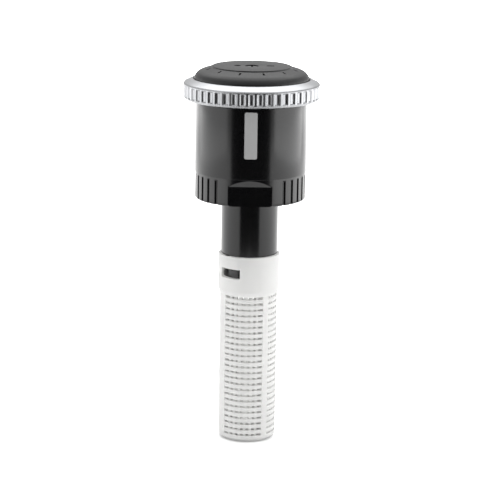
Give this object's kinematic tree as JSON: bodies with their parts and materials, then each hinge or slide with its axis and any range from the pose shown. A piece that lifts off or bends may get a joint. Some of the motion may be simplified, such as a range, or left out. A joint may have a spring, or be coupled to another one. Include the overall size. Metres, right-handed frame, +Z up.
{
  "type": "pop-up sprinkler spray head",
  "caption": "Rotating multi-stream spray head for a pop-up sprinkler riser, with a knurled arc ring, a threaded housing and a bayonet filter basket.",
  "frame": {"origin": "on the axis at the housing's bottom face, at the mouth of the riser thread", "axes": "+Z up along the axis towards the cap; -Y is the front, with the index stripe"},
  "size_m": [0.0286, 0.0286, 0.0802],
  "materials": {
    "housing": "satin black acetal",
    "index_stripe": "light grey moulded insert",
    "inlet_tube": "satin black acetal",
    "nozzle_core": "satin black acetal",
    "guide_bush": "unfilled bearing plastic",
    "throttle_seat": "light grey moulded insert",
    "collar_snap_ring": "brushed stainless steel",
    "adjusting_ring": "bright knurled metal",
    "arc_collar": "satin black acetal",
    "arc_seal": "matte moulded rubber",
    "spring_cup": "satin black acetal",
    "return_spring": "brushed stainless steel",
    "shaft": "brushed stainless steel",
    "shaft_clip": "brushed stainless steel",
    "brake_drum": "satin white polypropylene",
    "throttle_nut": "satin white polypropylene",
    "rotor_cap": "satin black acetal",
    "deflector": "satin black acetal",
    "upper_bearing": "unfilled bearing plastic",
    "lower_bearing": "unfilled bearing plastic",
    "shaft_seal": "matte moulded rubber",
    "seal_retainer": "brushed stainless steel",
    "filter_basket": "satin white polypropylene"
  },
  "bodies": {
    "housing": {"housing": "housing", "index_stripe": "index_stripe", "inlet_tube": "inlet_tube", "nozzle_core": "nozzle_core", "guide_bush": "guide_bush", "throttle_seat": "throttle_seat", "collar_snap_ring": "collar_snap_ring"},
    "arc_adjuster": {"adjusting_ring": "adjusting_ring", "arc_collar": "arc_collar", "arc_seal": "arc_seal"},
    "carriage": {"spring_cup": "spring_cup", "return_spring": "return_spring"},
    "shaft_unit": {"shaft": "shaft", "shaft_clip": "shaft_clip", "brake_drum": "brake_drum"},
    "throttle": {"throttle_nut": "throttle_nut"},
    "rotor": {"rotor_cap": "rotor_cap", "deflector": "deflector", "upper_bearing": "upper_bearing", "lower_bearing": "lower_bearing", "shaft_seal": "shaft_seal", "seal_retainer": "seal_retainer"},
    "filter": {"filter_basket": "filter_basket"}
  },
  "joints": [
    {"name": "arc_adjust", "type": "hinge", "parent": "housing", "child": "arc_adjuster", "pos_m": [0, 0, 0.0209], "axis": [0, 0, 1], "range_deg": [0, 120]},
    {"name": "pop_up", "type": "slide", "parent": "housing", "child": "carriage", "axis": [0, 0, 1], "range_m": [0, 0.0055], "stiffness_N_per_m": 600, "springref_m": -0.004, "deforming": ["return_spring"]},
    {"name": "radius_adjust", "type": "hinge", "parent": "carriage", "child": "shaft_unit", "pos_m": [0, 0, 0], "axis": [0, 0, -1], "range_deg": [0, 1080]},
    {"name": "throttle_travel", "type": "slide", "parent": "carriage", "child": "throttle", "axis": [0, 0, 1], "range_m": [0, 0.00181]},
    {"name": "rotor_spin", "type": "hinge", "parent": "shaft_unit", "child": "rotor", "pos_m": [0, 0, 0.0246], "axis": [0, 0, 1], "continuous": true},
    {"name": "filter_twist", "type": "hinge", "parent": "housing", "child": "filter", "pos_m": [0, 0, -0.0156], "axis": [0, 0, 1], "range_deg": [0, 29]}
  ],
  "couplings": [
    {"joint": "throttle_travel", "follows": "radius_adjust", "m_per_rad": 0.00009549}
  ]
}
